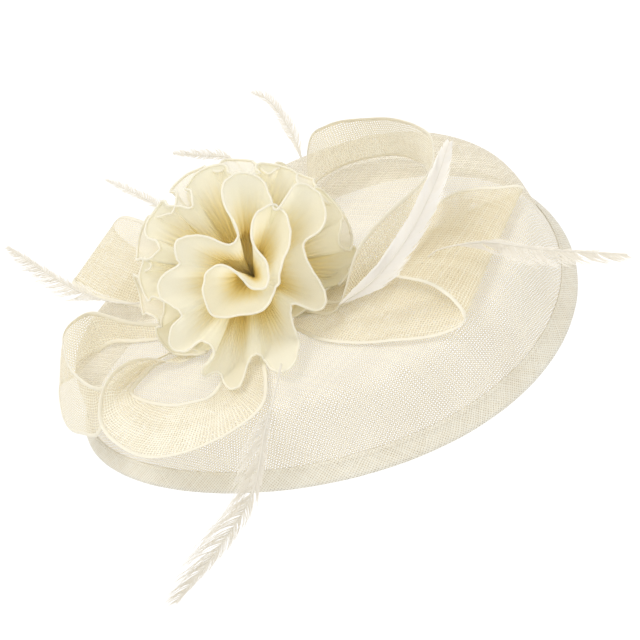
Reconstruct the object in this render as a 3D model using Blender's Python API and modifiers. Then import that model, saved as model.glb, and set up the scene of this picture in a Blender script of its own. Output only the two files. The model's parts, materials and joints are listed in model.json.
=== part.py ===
"""Fascinator headpiece: an oval sinamay base with a bound edge, five ribbon loops,
a ruffled flower, seven feathers, and a sprung hair clip on a felt pad underneath.

Frame: metres, +Z up, +X along the oval's long side.  The origin is the centre of the
brim's edge, where the head goes in.
"""
import math

import bmesh
import bpy
from mathutils import Matrix, Vector

MM = 0.001
GAP = 0.3 * MM

# Oval base: half lengths of the brim edge, crown height above it, and how far the bend
# over the head lowers the long ends and lifts the long sides.
OVAL_A = 140.0 * MM
OVAL_B = 131.0 * MM
END_DROP = 7.0 * MM
SIDE_LIFT = 9.6 * MM
BASE_THICKNESS = 1.2 * MM
BASE_STEPS = 60

# Side wall of the base in section: distance in from the brim edge and height, in mm.
WALL_SECTION = [
    (0.0, 0.0), (2.8, 4.4), (5.0, 9.5), (6.6, 16.0), (7.8, 24.0), (9.4, 32.0),
    (11.6, 36.6), (15.5, 39.0), (22.0, 39.9),
]
CROWN_DOME = 0.8 * MM

# Edge binding and the wire inside it.
BINDING_WIDTH = 8.6 * MM
BINDING_THICKNESS = 0.6 * MM
WIRE_RADIUS = 0.7 * MM
WIRE_STANDOFF = 1.3 * MM

RIBBON_THICKNESS = 0.9 * MM

# Flower: a ball of ruffles cut flat underneath, its eye leaning to the front right.
FLOWER_CENTRE = Vector((6.0, -30.0, 62.0)) * MM
FLOWER_RADIUS = 58.0 * MM
FLOWER_CORE = 16.0 * MM
FLOWER_FLOOR = 48.0 * MM
EYE_ELEVATION = math.radians(21.0)
EYE_DIRECTION = math.radians(-34.0)
BACKING_RADIUS = 24.0 * MM
BACKING_THICKNESS = 1.2 * MM

# Feathers: the vane's thickness at the quill.
QUILL_THICKNESS = 1.0 * MM

# Felt pad under the crown, and its stitches.
PAD_LENGTH = 70.0 * MM
PAD_WIDTH = 30.0 * MM
PAD_THICKNESS = 1.5 * MM
PAD_TOP = 38.5 * MM
THREAD_RADIUS = 0.3 * MM
STITCH_LENGTH = 5.0 * MM

# Hair clip.
CLIP_HALF_LENGTH = 24.0 * MM
CLIP_WIDTH = 9.0 * MM
SHEET_METAL = 0.8 * MM
EAR_METAL = 0.7 * MM
JAW_GAP = 4.9 * MM
PIVOT_X = 10.0 * MM
PIVOT_BELOW_PLATE = 2.5 * MM
PIN_RADIUS = 0.75 * MM
PIN_HOLE_RADIUS = 0.85 * MM
SPRING_COIL_RADIUS = 1.75 * MM
SPRING_WIRE_RADIUS = 0.3 * MM

COLOURS = {
    "sinamay": ((0.93, 0.87, 0.72), 0.75, 0.0),
    "binding": ((0.94, 0.89, 0.76), 0.7, 0.0),
    "ribbon": ((0.95, 0.90, 0.77), 0.7, 0.0),
    "chiffon": ((0.96, 0.89, 0.70), 0.6, 0.0),
    "feather": ((0.93, 0.91, 0.87), 0.8, 0.0),
    "felt": ((0.90, 0.86, 0.76), 0.95, 0.0),
    "thread": ((0.94, 0.90, 0.80), 0.7, 0.0),
    "steel": ((0.75, 0.75, 0.76), 0.3, 1.0),
}


# ---------------------------------------------------------------- scene and materials

def clear_scene():
    for thing in list(bpy.data.objects):
        bpy.data.objects.remove(thing, do_unlink=True)


def make_collection(name):
    collection = bpy.data.collections.new(name)
    bpy.context.scene.collection.children.link(collection)
    return collection


def make_materials():
    made = {}
    for name, (colour, roughness, metallic) in COLOURS.items():
        material = bpy.data.materials.new(name)
        material.use_nodes = True
        shader = material.node_tree.nodes["Principled BSDF"]
        shader.inputs["Base Color"].default_value = (*colour, 1.0)
        shader.inputs["Roughness"].default_value = roughness
        shader.inputs["Metallic"].default_value = metallic
        made[name] = material
    return made


def add_object(name, data, material, collection):
    thing = bpy.data.objects.new(name, data)
    thing.data.materials.append(material)
    collection.objects.link(thing)
    return thing


def mesh_from(bm, name, smooth_angle=math.radians(40.0)):
    bmesh.ops.recalc_face_normals(bm, faces=bm.faces)
    mesh = bpy.data.meshes.new(name)
    bm.to_mesh(mesh)
    bm.free()
    mesh.shade_smooth()
    mesh.set_sharp_from_angle(angle=smooth_angle)
    return mesh


def add_solidify(thing, thickness, offset=0.0):
    shell = thing.modifiers.new("thickness", "SOLIDIFY")
    shell.thickness = thickness
    shell.offset = offset
    shell.use_even_offset = True


# ---------------------------------------------------------------- curves through points

def smooth_points(points, count):
    """Evenly numbered points on a Catmull-Rom curve through the given points."""
    knots = [Vector(p) for p in points]
    knots = [knots[0] * 2 - knots[1]] + knots + [knots[-1] * 2 - knots[-2]]
    spans = len(points) - 1
    result = []
    for i in range(count):
        place = i / (count - 1) * spans
        k = min(int(place), spans - 1)
        t = place - k
        a, b, c, d = knots[k:k + 4]
        result.append(
            0.5 * (2 * b + (c - a) * t + (2 * a - 5 * b + 4 * c - d) * t ** 2
                   + (3 * b - a - 3 * c + d) * t ** 3))
    return result


# ---------------------------------------------------------------- oval base

def head_bend(x, y):
    """Height that the bend over the head adds at a place in plan."""
    return SIDE_LIFT * (y / OVAL_B) ** 2 - END_DROP * (x / OVAL_A) ** 2


def section_height(inset):
    """Height of the base's middle surface at a distance in from the brim edge."""
    inset = max(0.0, inset / MM)
    for (d0, h0), (d1, h1) in zip(WALL_SECTION, WALL_SECTION[1:]):
        if inset <= d1:
            return (h0 + (h1 - h0) * (inset - d0) / (d1 - d0)) * MM
    centre = OVAL_A / MM - WALL_SECTION[-1][0]
    rise = 1.0 - (1.0 - min(1.0, (inset - WALL_SECTION[-1][0]) / centre)) ** 2
    return WALL_SECTION[-1][1] * MM + CROWN_DOME * rise


def crown_height(x, y):
    """Height of the base's middle surface above a place in plan."""
    inset = (1.0 - math.hypot(x / OVAL_A, y / OVAL_B)) * OVAL_A
    return section_height(inset) + head_bend(x, y)


def spin_section(points, closed):
    """Spin a section given as (inset, height) pairs into an oval of BASE_STEPS steps."""
    bm = bmesh.new()
    rings = []
    for step in range(BASE_STEPS):
        turn = 2 * math.pi * step / BASE_STEPS
        ring = []
        for inset, height in points:
            x = math.cos(turn) * (OVAL_A - inset)
            y = math.sin(turn) * (OVAL_A - inset) * OVAL_B / OVAL_A
            ring.append(bm.verts.new((x, y, height + head_bend(x, y))))
        rings.append(ring)
    last = len(points) if closed else len(points) - 1
    for step in range(BASE_STEPS):
        near, far = rings[step], rings[(step + 1) % BASE_STEPS]
        for i in range(last):
            j = (i + 1) % len(points)
            bm.faces.new((near[i], near[j], far[j], far[i]))
    return bm, rings


def make_base(materials, collection):
    crown_insets = [22.0 + (OVAL_A / MM - 22.0) * k / 4 for k in range(1, 4)]
    section = [(d * MM, h * MM) for d, h in WALL_SECTION]
    section += [(d * MM, section_height(d * MM)) for d in crown_insets]
    bm, rings = spin_section(section, closed=False)
    top = bm.verts.new((0.0, 0.0, section_height(OVAL_A)))
    for step in range(BASE_STEPS):
        bm.faces.new((rings[step][-1], top, rings[(step + 1) % BASE_STEPS][-1]))
    base = add_object("sinamay_base", mesh_from(bm, "sinamay_base"),
                      materials["sinamay"], collection)
    add_solidify(base, BASE_THICKNESS)


def edge_frame():
    """Direction up the wall from the brim edge, and the direction out of its face."""
    (d0, h0), (d1, h1) = WALL_SECTION[0], WALL_SECTION[1]
    along = Vector((d1 - d0, h1 - h0)).normalized()
    outward = Vector((-along.y, along.x))
    return along, outward


def make_binding(materials, collection):
    along, outward = edge_frame()
    inner = BASE_THICKNESS / 2 + GAP + 0.1 * MM
    outer = inner + BINDING_THICKNESS
    tip = -(WIRE_STANDOFF + WIRE_RADIUS + GAP)
    half = [
        (BINDING_WIDTH, outer), (BINDING_WIDTH / 2, outer), (0.0, outer),
        (tip, outer * 0.75), (tip - BINDING_THICKNESS, 0.35 * MM),
    ]
    inside = [(tip, 0.35 * MM), (tip + 0.9 * MM, inner), (0.0, inner),
              (BINDING_WIDTH / 2, inner), (BINDING_WIDTH, inner)]
    ring = half + [(s, -n) for s, n in reversed(half)]
    ring += [(s, -n) for s, n in reversed(inside)] + inside
    section = []
    for s, n in ring:
        bent = wall_point(s) + outward * n
        section.append((bent.x, bent.y))
    bm, _ = spin_section(section, closed=True)
    add_object("brim_binding", mesh_from(bm, "brim_binding"), materials["binding"], collection)

    wire_centre = along * -WIRE_STANDOFF
    sides = 8
    section = []
    for k in range(sides):
        turn = 2 * math.pi * k / sides
        section.append((wire_centre.x + WIRE_RADIUS * math.cos(turn),
                        wire_centre.y + WIRE_RADIUS * math.sin(turn)))
    bm, _ = spin_section(section, closed=True)
    add_object("brim_wire", mesh_from(bm, "brim_wire"), materials["steel"], collection)


def wall_point(distance):
    """Point of the base's section at a distance along the wall from the brim edge."""
    along, _ = edge_frame()
    first = (Vector(WALL_SECTION[1]) - Vector(WALL_SECTION[0])) * MM
    if distance <= first.length:
        return along * distance
    second = (Vector(WALL_SECTION[2]) - Vector(WALL_SECTION[1])) * MM
    return first + second.normalized() * (distance - first.length)


# ---------------------------------------------------------------- ribbon loops

# Each loop is a strip between two edges.  A station gives the lower or inner edge, then
# the upper or outer edge, as (x, y, height) in mm.  A height given as a string is
# measured up from the crown.
LOOPS = {
    "loop_back": [
        ((-4, -2, "+1.6"), (8, -1, "+3.0")),
        ((-14, 24, "+1.6"), (0, 27, "+3.2")),
        ((-28, 50, "+1.6"), (-10, 44, 66)),
        ((-36, 70, "+1.6"), (-14, 60, 81)),
        ((-28, 84, "+1.6"), (-13, 73, 80)),
        ((-12, 90, "+2.2"), (-2, 82, 78)),
        ((8, 93, "+2.4"), (14, 86, 77)),
        ((28, 88, "+2.8"), (34, 82, 77.5)),
        ((52, 66, 54), (60, 69, 80)),
        ((70, 45, 57), (80, 48, 82)),
        ((76, 22, 57), (90, 26, 82)),
        ((78, 0, 53), (79, 9, 76)),
        ((69, -14, 48.5), (70, -14, 68)),
        ((57, -26, "+5.4"), (60, -34, "+5.6")),
        ((34, -24, "+5.0"), (34, -36, "+5.0")),
    ],
    "loop_right": [
        ((34, -20, "+2.6"), (34, -41, "+2.6")),
        ((48, -4, "+2.8"), (54, -30, "+2.8")),
        ((58, 30, "+6"), (66, -17, "+5.5")),
        ((68, 56, 49), (76, -9, 47.5)),
        ((82, 63, 50), (88, -10, 49)),
        ((92, 68, 48), (105, -12, 48)),
        ((99, 74, 45.5), (122, -18, 44)),
        ((102, 75, 42.5), (130, -25, 39.5)),
        ((97, 71, "+3.2"), (121, -33, 37)),
        ((84, 60, "+2.0"), (104, -44, "+2.4")),
        ((58, 26, "+1.5"), (68, -52, "+1.5")),
        ((34, -18, "+1.2"), (36, -45, "+1.2")),
    ],
    "loop_left": [
        ((-22, -22, "+2.8"), (-22, -35, "+2.8")),
        ((-43, -14, "+3.4"), (-43, -49, "+3.2")),
        ((-60, -10, 58), (-58, -49, "+5.5")),
        ((-79, -8, 67.5), (-77, -55, 54)),
        ((-104, 0, 66.5), (-96, -57, 59)),
        ((-124, 4, 64), (-109, -53, 61)),
        ((-133, 2, 58), (-116, -46, 58)),
        ((-128, 1, 50), (-112, -42, 51)),
        ((-110, -2, "+6"), (-98, -40, "+5")),
        ((-84, -8, "+3"), (-78, -40, "+2.6")),
        ((-50, -14, "+1.4"), (-48, -42, "+1.4")),
        ((-22, -23, "+1.2"), (-22, -34, "+1.2")),
    ],
    "loop_side": [
        ((-14, -51, "+1.4"), (-20, -42, "+1.4")),
        ((-32, -66, "+1.4"), (-39, -56, "+3.2")),
        ((-50, -72, "+1.4"), (-57, -66, 52)),
        ((-68, -78, "+2.0"), (-74, -72, 61)),
        ((-84, -91, "+3.2"), (-75, -84, 64)),
        ((-82, -106.5, 37.5), (-70, -96, 65.5)),
        ((-74, -117, 31), (-58, -106, 66)),
        ((-61, -125, 28), (-48, -114, 64)),
        ((-46, -128, 30), (-38, -118, 60.5)),
        ((-31, -129, 33), (-28, -119, 56.5)),
        ((-23, -119, 46), (-22, -114, 54)),
        ((-22, -100, "+1.8"), (-21, -100, 53)),
        ((-22, -84, "+1.5"), (-18, -86, "+4")),
        ((-14, -60, "+1.4"), (-7, -62, "+1.4")),
    ],
    "loop_front": [
        ((-2, -62, "+1.4"), (7, -63, "+1.4")),
        ((-12, -80, "+1.4"), (-2, -84, "+2.6")),
        ((-18, -90, "+1.4"), (-15, -92, 54)),
        ((-17, -98, "+1.4"), (-17, -104, 60)),
        ((-15, -106, "+1.4"), (-15, -117, 62)),
        ((-12, -111, "+1.6"), (-12, -129, 58.5)),
        ((-3, -114, "+2.2"), (-4, -140, 53)),
        ((10, -115, "+2.2"), (14, -147, 49.5)),
        ((24, -113, "+2.2"), (35, -149, 48)),
        ((35, -106, "+2"), (54, -140, 47.5)),
        ((34, -96, "+1.8"), (66, -125, 47)),
        ((30, -88, "+1.6"), (70, -105, 46)),
        ((24, -78, "+1.4"), (58, -87, 45.5)),
        ((16, -68, "+1.4"), (38, -68, "+3")),
        ((12, -60, "+1.4"), (24, -58, "+1.4")),
    ],
}
RIBBON_ROWS = 4
POINTS_PER_STATION = 3


def placed(point):
    """A station's point in metres, with a height above the crown worked out."""
    x, y, z = point
    if isinstance(z, str):
        return Vector((x * MM, y * MM, crown_height(x * MM, y * MM) + float(z) * MM))
    return Vector((x, y, z)) * MM


def make_loop(name, stations, materials, collection):
    columns = (len(stations) - 1) * POINTS_PER_STATION + 1
    lower = smooth_points([placed(low) for low, _ in stations], columns)
    upper = smooth_points([placed(high) for _, high in stations], columns)
    bm = bmesh.new()
    grid = []
    for low, high in zip(lower, upper):
        grid.append([bm.verts.new(low.lerp(high, row / RIBBON_ROWS))
                     for row in range(RIBBON_ROWS + 1)])
    for near, far in zip(grid, grid[1:]):
        for row in range(RIBBON_ROWS):
            bm.faces.new((near[row], near[row + 1], far[row + 1], far[row]))
    ribbon = add_object(name, mesh_from(bm, name), materials["ribbon"], collection)
    add_solidify(ribbon, RIBBON_THICKNESS)


# ---------------------------------------------------------------- flower

# Each ring of ruffles: polar angles from the eye in degrees, and its share of the radius.
RUFFLES = {
    "ruffle_center": (0.0, 34.0, 0.93),
    "ruffle_inner": (36.0, 60.0, 0.95),
    "ruffle_middle": (62.0, 86.0, 0.98),
    "ruffle_outer": (88.0, 118.0, 1.0),
    "ruffle_back": (120.0, 150.0, 0.97),
}
RUFFLE_STEPS = 32


def flower_frame():
    """Turn and place that carry +Z to the flower's eye direction."""
    eye = Vector((
        math.cos(EYE_ELEVATION) * math.cos(EYE_DIRECTION),
        math.cos(EYE_ELEVATION) * math.sin(EYE_DIRECTION),
        math.sin(EYE_ELEVATION)))
    turn = Vector((0, 0, 1)).rotation_difference(eye).to_matrix().to_4x4()
    return Matrix.Translation(FLOWER_CENTRE) @ turn


def ruffle_section(start, end, radius):
    """Closed section of one ring as (distance from axis, height along it) pairs."""
    arc_steps = 4
    outer = []
    for k in range(arc_steps + 1):
        polar = math.radians(start + (end - start) * k / arc_steps)
        outer.append((radius * math.sin(polar), radius * math.cos(polar)))
    first, last = math.radians(start), math.radians(end)
    core_end = (FLOWER_CORE * math.sin(last), FLOWER_CORE * math.cos(last))
    core_start = (FLOWER_CORE * math.sin(first), FLOWER_CORE * math.cos(first))
    return outer + [core_end, core_start]


def make_floor_cutter(collection):
    bm = bmesh.new()
    bmesh.ops.create_cube(bm, size=200.0 * MM)
    bmesh.ops.translate(bm, verts=bm.verts, vec=Vector(
        (FLOWER_CENTRE.x, FLOWER_CENTRE.y, FLOWER_FLOOR - 100.0 * MM)))
    mesh = bpy.data.meshes.new("flower_floor_cutter")
    bm.to_mesh(mesh)
    bm.free()
    cutter = bpy.data.objects.new("flower_floor_cutter", mesh)
    cutter.hide_render = True
    cutter.display_type = "WIRE"
    collection.objects.link(cutter)
    return cutter


def make_ruffle(name, start, end, share, cutter, materials, collection):
    section = ruffle_section(start, end, FLOWER_RADIUS * share)
    bm = bmesh.new()
    rings = []
    for step in range(RUFFLE_STEPS):
        turn = 2 * math.pi * step / RUFFLE_STEPS
        rings.append([bm.verts.new((r * math.cos(turn), r * math.sin(turn), h))
                      for r, h in section])
    for step in range(RUFFLE_STEPS):
        near, far = rings[step], rings[(step + 1) % RUFFLE_STEPS]
        for i in range(len(section)):
            j = (i + 1) % len(section)
            bm.faces.new((near[i], near[j], far[j], far[i]))
    bmesh.ops.remove_doubles(bm, verts=bm.verts, dist=0.01 * MM)
    bmesh.ops.dissolve_degenerate(bm, edges=bm.edges, dist=0.01 * MM)
    bmesh.ops.transform(bm, matrix=flower_frame(), verts=bm.verts)
    ruffle = add_object(name, mesh_from(bm, name), materials["chiffon"], collection)
    lowest = FLOWER_CENTRE.z + FLOWER_RADIUS * share * math.sin(EYE_ELEVATION - math.radians(end))
    if lowest < FLOWER_FLOOR:
        cut = ruffle.modifiers.new("flat_underside", "BOOLEAN")
        cut.operation = "DIFFERENCE"
        cut.object = cutter


def make_backing(materials, collection):
    bm = bmesh.new()
    top = FLOWER_FLOOR - GAP
    bmesh.ops.create_cone(bm, cap_ends=True, segments=32, radius1=BACKING_RADIUS,
                          radius2=BACKING_RADIUS, depth=BACKING_THICKNESS)
    bmesh.ops.translate(bm, verts=bm.verts, vec=Vector(
        (FLOWER_CENTRE.x, FLOWER_CENTRE.y, top - BACKING_THICKNESS / 2)))
    add_object("flower_backing", mesh_from(bm, "flower_backing"), materials["felt"], collection)


# ---------------------------------------------------------------- feathers

# Each feather: points along its quill in mm, half width of its vane in mm, share of the
# quill that is bare, and the direction that its flat side faces.
FEATHERS = {
    "feather_1": ([(-50, -66, 62), (-77, -66, 66), (-115, -58, 69), (-180, -37, 70)],
                  7.0, 0.15, (0.5, -0.4, 0.75)),
    "feather_2": ([(-54, -10, 70), (-76, -3, 78), (-101, 4, 81), (-136, 14, 82)],
                  4.0, 0.15, (0.5, -0.4, 0.75)),
    "feather_3": ([(-18, 11, 101), (-47, 16, 99), (-75, 20, 97)],
                  4.0, 0.1, (0.4, -0.6, 0.7)),
    "feather_4": ([(1, 32, 74), (-5, 42, 86), (-22, 56, 93), (-47, 73, 96), (-66, 80, 97)],
                  5.0, 0.15, (0.6, -0.5, 0.6)),
    "feather_5": ([(70, -38, 53.5), (91, -30, 64), (104, -12, 76), (114, 6, 92), (110, 30, 100)],
                  8.0, 0.02, (0.7, -0.6, 0.4)),
    "feather_6": ([(98, 10, 53), (125, 13, 56), (160, 8, 58), (206, 8, 58.5)],
                  7.0, 0.12, (0.3, -0.3, 0.9)),
    "feather_7": ([(58, -70, 49), (72, -89, 53), (89, -112, 57), (100, -130, 58), (114, -159, 52),
                   (109, -181, 42), (92, -204, 26)],
                  10.0, 0.3, (0.8, -0.5, 0.3)),
}
FEATHER_POINTS = 15
BARE_QUILL_HALF_WIDTH = 0.6 * MM


def vane_half_width(t, half_width, bare):
    """Half width of a feather at a share t of its length."""
    if t <= bare:
        return BARE_QUILL_HALF_WIDTH
    u = (t - bare) / (1.0 - bare)
    return BARE_QUILL_HALF_WIDTH + half_width * MM * math.sin(math.pi * u ** 0.75) ** 0.8


def make_feather(name, points, half_width, bare, facing, materials, collection):
    spine = smooth_points([Vector(p) * MM for p in points], FEATHER_POINTS)
    facing = Vector(facing).normalized()
    bm = bmesh.new()
    rings = []
    for i, centre in enumerate(spine):
        before, after = spine[max(i - 1, 0)], spine[min(i + 1, len(spine) - 1)]
        forward = (after - before).normalized()
        side = forward.cross(facing).normalized()
        up = side.cross(forward).normalized()
        reach = vane_half_width(i / (len(spine) - 1), half_width, bare)
        rise = QUILL_THICKNESS / 2
        corners = [side * reach, up * rise, side * -reach, up * -rise]
        rings.append([bm.verts.new(centre + corner) for corner in corners])
    for near, far in zip(rings, rings[1:]):
        for k in range(4):
            bm.faces.new((near[k], near[(k + 1) % 4], far[(k + 1) % 4], far[k]))
    bm.faces.new(reversed(rings[0]))
    bm.faces.new(rings[-1])
    add_object(name, mesh_from(bm, name), materials["feather"], collection)


# ---------------------------------------------------------------- felt pad and clip

def add_prism(name, outline, thickness, place, material, collection):
    """An extruded outline in its own X-Y plane, placed by a matrix."""
    curve = bpy.data.curves.new(name, "CURVE")
    curve.dimensions = "2D"
    curve.fill_mode = "BOTH"
    curve.extrude = thickness / 2
    spline = curve.splines.new("POLY")
    spline.points.add(len(outline) - 1)
    for point, (x, y) in zip(spline.points, outline):
        point.co = (x, y, 0.0, 1.0)
    spline.use_cyclic_u = True
    guide = add_object(name, curve, material, collection)
    guide.matrix_world = place
    return guide


def oval_outline(length, width, steps=40):
    """A long oval with round ends."""
    radius = width / 2
    straight = length / 2 - radius
    outline = []
    for k in range(steps):
        turn = 2 * math.pi * (k + 0.5) / steps
        shift = straight if math.cos(turn) > 0 else -straight
        outline.append((radius * math.cos(turn) + shift, radius * math.sin(turn)))
    return outline


def make_pad(materials, collection):
    place = Matrix.Translation((0.0, 0.0, PAD_TOP - PAD_THICKNESS / 2))
    add_prism("felt_pad", oval_outline(PAD_LENGTH, PAD_WIDTH), PAD_THICKNESS, place,
              materials["felt"], collection)
    number = 1
    for x in (-27.0 * MM, 27.0 * MM):
        for y in (-9.0 * MM, 9.0 * MM):
            make_stitch(f"pad_stitch_{number}", x, y, materials, collection)
            number += 1


def make_stitch(name, x, y, materials, collection):
    z = PAD_TOP - PAD_THICKNESS - GAP - THREAD_RADIUS
    points = [(x - STITCH_LENGTH / 2, y, z), (x, y, z - 0.2 * MM), (x + STITCH_LENGTH / 2, y, z)]
    add_tube(name, points, THREAD_RADIUS, materials["thread"], collection)


def add_tube(name, points, radius, material, collection):
    curve = bpy.data.curves.new(name, "CURVE")
    curve.dimensions = "3D"
    curve.bevel_depth = radius
    curve.bevel_resolution = 2
    curve.use_fill_caps = True
    spline = curve.splines.new("POLY")
    spline.points.add(len(points) - 1)
    for point, place in zip(spline.points, points):
        point.co = (*place, 1.0)
    return add_object(name, curve, material, collection)


def clip_heights():
    """Heights of the upper plate's underside, the pivot and the lower plate's top."""
    upper = PAD_TOP - PAD_THICKNESS - GAP - SHEET_METAL
    return upper, upper - PIVOT_BELOW_PLATE, upper - JAW_GAP


def box_into(bm, low, high):
    made = bmesh.ops.create_cube(bm, size=1.0)["verts"]
    low, high = Vector(low), Vector(high)
    bmesh.ops.scale(bm, vec=high - low, verts=made)
    bmesh.ops.translate(bm, vec=(low + high) / 2, verts=made)


def box_object(name, low, high, material, collection):
    bm = bmesh.new()
    box_into(bm, low, high)
    return add_object(name, mesh_from(bm, name), material, collection)


def hide_as_cutter(thing):
    thing.hide_render = True
    thing.display_type = "WIRE"


def pin_cutter(name, radius, half_length, pivot_z, cutters):
    bm = bmesh.new()
    bmesh.ops.create_cone(bm, cap_ends=True, segments=24, radius1=radius, radius2=radius,
                          depth=half_length * 2)
    bmesh.ops.rotate(bm, verts=bm.verts, matrix=Matrix.Rotation(math.pi / 2, 3, "X"))
    bmesh.ops.translate(bm, verts=bm.verts, vec=Vector((PIVOT_X, 0.0, pivot_z)))
    mesh = bpy.data.meshes.new(name)
    bm.to_mesh(mesh)
    bm.free()
    cutter = bpy.data.objects.new(name, mesh)
    hide_as_cutter(cutter)
    cutters.objects.link(cutter)
    return cutter


def join_and_drill(jaw, pieces, drill):
    """Union the pieces onto the jaw, then drill the pin hole through its ears."""
    for piece in pieces:
        union = jaw.modifiers.new("join_" + piece.name, "BOOLEAN")
        union.operation = "UNION"
        union.object = piece
        hide_as_cutter(piece)
    hole = jaw.modifiers.new("pin_hole", "BOOLEAN")
    hole.operation = "DIFFERENCE"
    hole.object = drill


def make_upper_jaw(drill, materials, collection, cutters):
    steel = materials["steel"]
    under, pivot, _ = clip_heights()
    half = CLIP_WIDTH / 2
    jaw = box_object("clip_upper_jaw", (-CLIP_HALF_LENGTH, -half, under),
                     (CLIP_HALF_LENGTH, half, under + SHEET_METAL), steel, collection)
    ear_reach = 2.6 * MM
    pieces = []
    for side, sign in (("left", 1.0), ("right", -1.0)):
        edges = sorted((sign * (half - EAR_METAL), sign * half))
        pieces.append(box_object(
            "upper_ear_" + side, (PIVOT_X - ear_reach, edges[0], pivot - 1.8 * MM),
            (PIVOT_X + ear_reach, edges[1], under + SHEET_METAL / 2), steel, cutters))
    pieces.append(box_object(
        "upper_lip", (-CLIP_HALF_LENGTH, -half * 0.8, under - JAW_GAP / 2 + GAP / 2),
        (-CLIP_HALF_LENGTH + SHEET_METAL, half * 0.8, under + SHEET_METAL / 2), steel, cutters))
    join_and_drill(jaw, pieces, drill)


def lower_jaw_profile():
    """Side outline of the lower jaw's strip: flat jaw, then the finger lever bent down."""
    _, _, top = clip_heights()
    bend_x = PIVOT_X + 2.6 * MM
    lever_drop = 4.6 * MM
    upper_line = [(-CLIP_HALF_LENGTH, top), (bend_x, top), (CLIP_HALF_LENGTH, top - lever_drop)]
    lower_line = [(x, z - SHEET_METAL) for x, z in reversed(upper_line)]
    return upper_line + lower_line


def make_lower_jaw(drill, materials, collection, cutters):
    steel = materials["steel"]
    under, pivot, top = clip_heights()
    half = CLIP_WIDTH / 2 - EAR_METAL - GAP
    outline = lower_jaw_profile()
    bm = bmesh.new()
    near = [bm.verts.new((x, -half, z)) for x, z in outline]
    far = [bm.verts.new((x, half, z)) for x, z in outline]
    for i in range(len(outline)):
        j = (i + 1) % len(outline)
        bm.faces.new((near[i], near[j], far[j], far[i]))
    bm.faces.new(near)
    bm.faces.new(list(reversed(far)))
    jaw = add_object("clip_lower_jaw", mesh_from(bm, "clip_lower_jaw"), steel, collection)
    ear_reach = 1.9 * MM
    pieces = []
    for side, sign in (("left", 1.0), ("right", -1.0)):
        edges = sorted((sign * (half - EAR_METAL), sign * half))
        pieces.append(box_object(
            "lower_ear_" + side, (PIVOT_X - ear_reach, edges[0], top - SHEET_METAL / 2),
            (PIVOT_X + ear_reach, edges[1], pivot + 1.4 * MM), steel, cutters))
    pieces.append(box_object(
        "lower_lip", (-CLIP_HALF_LENGTH, -half * 0.9, top - SHEET_METAL / 2),
        (-CLIP_HALF_LENGTH + SHEET_METAL, half * 0.9, under - JAW_GAP / 2 - GAP / 2),
        steel, cutters))
    join_and_drill(jaw, pieces, drill)


def make_pin(materials, collection):
    _, pivot, _ = clip_heights()
    bm = bmesh.new()
    bmesh.ops.create_cone(bm, cap_ends=True, segments=24, radius1=PIN_RADIUS,
                          radius2=PIN_RADIUS, depth=CLIP_WIDTH + 1.0 * MM)
    bmesh.ops.rotate(bm, verts=bm.verts, matrix=Matrix.Rotation(math.pi / 2, 3, "X"))
    pin = add_object("clip_pin", mesh_from(bm, "clip_pin"), materials["steel"], collection)
    pin.location = (PIVOT_X, 0.0, pivot)


def make_spring(materials, collection):
    """Coil round the pin, a leg under the upper lever and a short end over the lower jaw."""
    under, pivot, _ = clip_heights()
    turns, steps = 3, 12
    pitch = 0.85 * MM
    upper_leg_z = under - GAP - SPRING_WIRE_RADIUS
    half = turns * pitch / 2
    start_turn = math.pi / 2
    points = [(PIVOT_X + 10.0 * MM, -half, upper_leg_z), (PIVOT_X + 1.5 * MM, -half, upper_leg_z)]
    for k in range(turns * steps + steps // 2 + 1):
        turn = start_turn + 2 * math.pi * k / steps
        share = k / (turns * steps + steps // 2)
        points.append((PIVOT_X + SPRING_COIL_RADIUS * math.cos(turn),
                       -half + 2 * half * share,
                       pivot + SPRING_COIL_RADIUS * math.sin(turn)))
    points.append((PIVOT_X + 0.8 * MM, half, pivot - SPRING_COIL_RADIUS))
    add_tube("clip_spring", points, SPRING_WIRE_RADIUS, materials["steel"], collection)


def make_clip(materials, collection, cutters):
    _, pivot, _ = clip_heights()
    drill = pin_cutter("pin_drill", PIN_HOLE_RADIUS, CLIP_WIDTH, pivot, cutters)
    make_upper_jaw(drill, materials, collection, cutters)
    make_lower_jaw(drill, materials, collection, cutters)
    make_pin(materials, collection)
    make_spring(materials, collection)


# ---------------------------------------------------------------- assembly

def main():
    clear_scene()
    materials = make_materials()
    collection = make_collection("fascinator_headpiece")
    cutters = make_collection("cutters")
    make_base(materials, collection)
    make_binding(materials, collection)
    for name, stations in LOOPS.items():
        make_loop(name, stations, materials, collection)
    cutter = make_floor_cutter(cutters)
    for name, (start, end, share) in RUFFLES.items():
        make_ruffle(name, start, end, share, cutter, materials, collection)
    make_backing(materials, collection)
    for name, (points, half_width, bare, facing) in FEATHERS.items():
        make_feather(name, points, half_width, bare, facing, materials, collection)
    make_pad(materials, collection)
    make_clip(materials, collection, cutters)


main()
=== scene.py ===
"""Looks of a cream fascinator: a woven sinamay base with ribbon loops, a chiffon flower and
feathers, and a felt pad with a hair clip under its crown.

Lengths are metres. +X runs along the oval's long side, +Z is up off the head, and the
origin is the middle of the rim. Stations, knots and curve points are given in mm.
"""

import json
import random
from math import copysign, cos, hypot, pi, radians, sin, sqrt, tau

import bmesh
import bpy
from mathutils import Matrix, Vector, noise

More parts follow.
